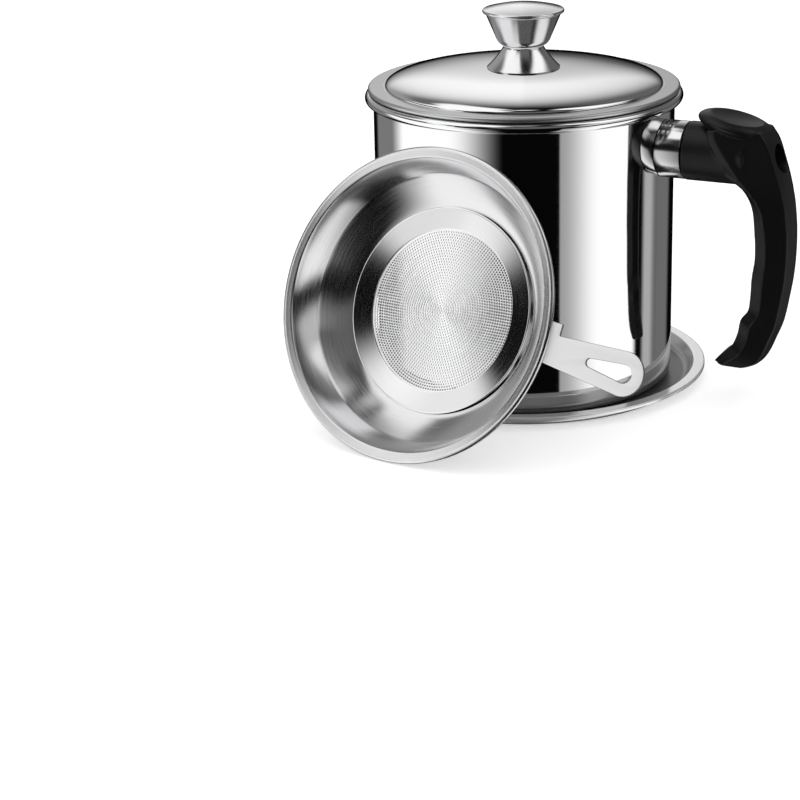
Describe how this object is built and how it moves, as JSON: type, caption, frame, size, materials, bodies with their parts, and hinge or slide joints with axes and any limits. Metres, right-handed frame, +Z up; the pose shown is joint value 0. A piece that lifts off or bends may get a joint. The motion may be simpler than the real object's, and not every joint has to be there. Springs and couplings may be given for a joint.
{
  "type": "bacon grease container",
  "caption": "Lidded round steel pot for keeping strained cooking fat, with a side handle, a drip tray under it and a fine dish strainer with a flat handle leaning on its wall.",
  "frame": {"origin": "on the pot's axis, at the drip tray's flat underside", "axes": "+Z up along the pot's axis, +X towards the pot's side handle, -Y towards the leaning strainer"},
  "size_m": [0.1953, 0.2023, 0.1587],
  "materials": {
    "steel_polished": "mirror polished stainless steel",
    "steel_satin": "satin spun stainless steel",
    "steel_pale": "fine satin stainless steel sheet",
    "steel_zinc": "zinc plated steel",
    "phenolic_black": "satin black moulded phenolic"
  },
  "bodies": {
    "tray": {"drip_tray": "steel_pale"},
    "pot": {"pot_shell": "steel_polished", "handle_ferrule": "steel_polished", "handle_boss": "steel_zinc", "handle_grip": "phenolic_black", "handle_washer": "steel_zinc", "handle_screw": "steel_zinc"},
    "lid": {"lid_shell": "steel_polished", "lid_skirt": "steel_satin", "knob_foot": "steel_polished", "knob_cup": "steel_polished", "knob_top": "steel_polished", "knob_bush": "steel_zinc", "knob_washer": "steel_zinc", "knob_screw": "steel_zinc"},
    "strainer": {"strainer_bowl": "steel_satin", "filter_plate": "steel_satin", "filter_ring": "steel_polished", "strainer_tab": "steel_pale"}
  },
  "joints": [
    {"name": "pot_lift", "type": "slide", "parent": "tray", "child": "pot", "axis": [0, 0, 1], "range_m": [0, 0.15]},
    {"name": "lid_lift", "type": "slide", "parent": "pot", "child": "lid", "axis": [0, 0, 1], "range_m": [0, 0.1]},
    {"name": "strainer_lift", "type": "slide", "parent": "tray", "child": "strainer", "axis": [-0.0309, -0.7064, 0.7071], "range_m": [0, 0.15]}
  ]
}
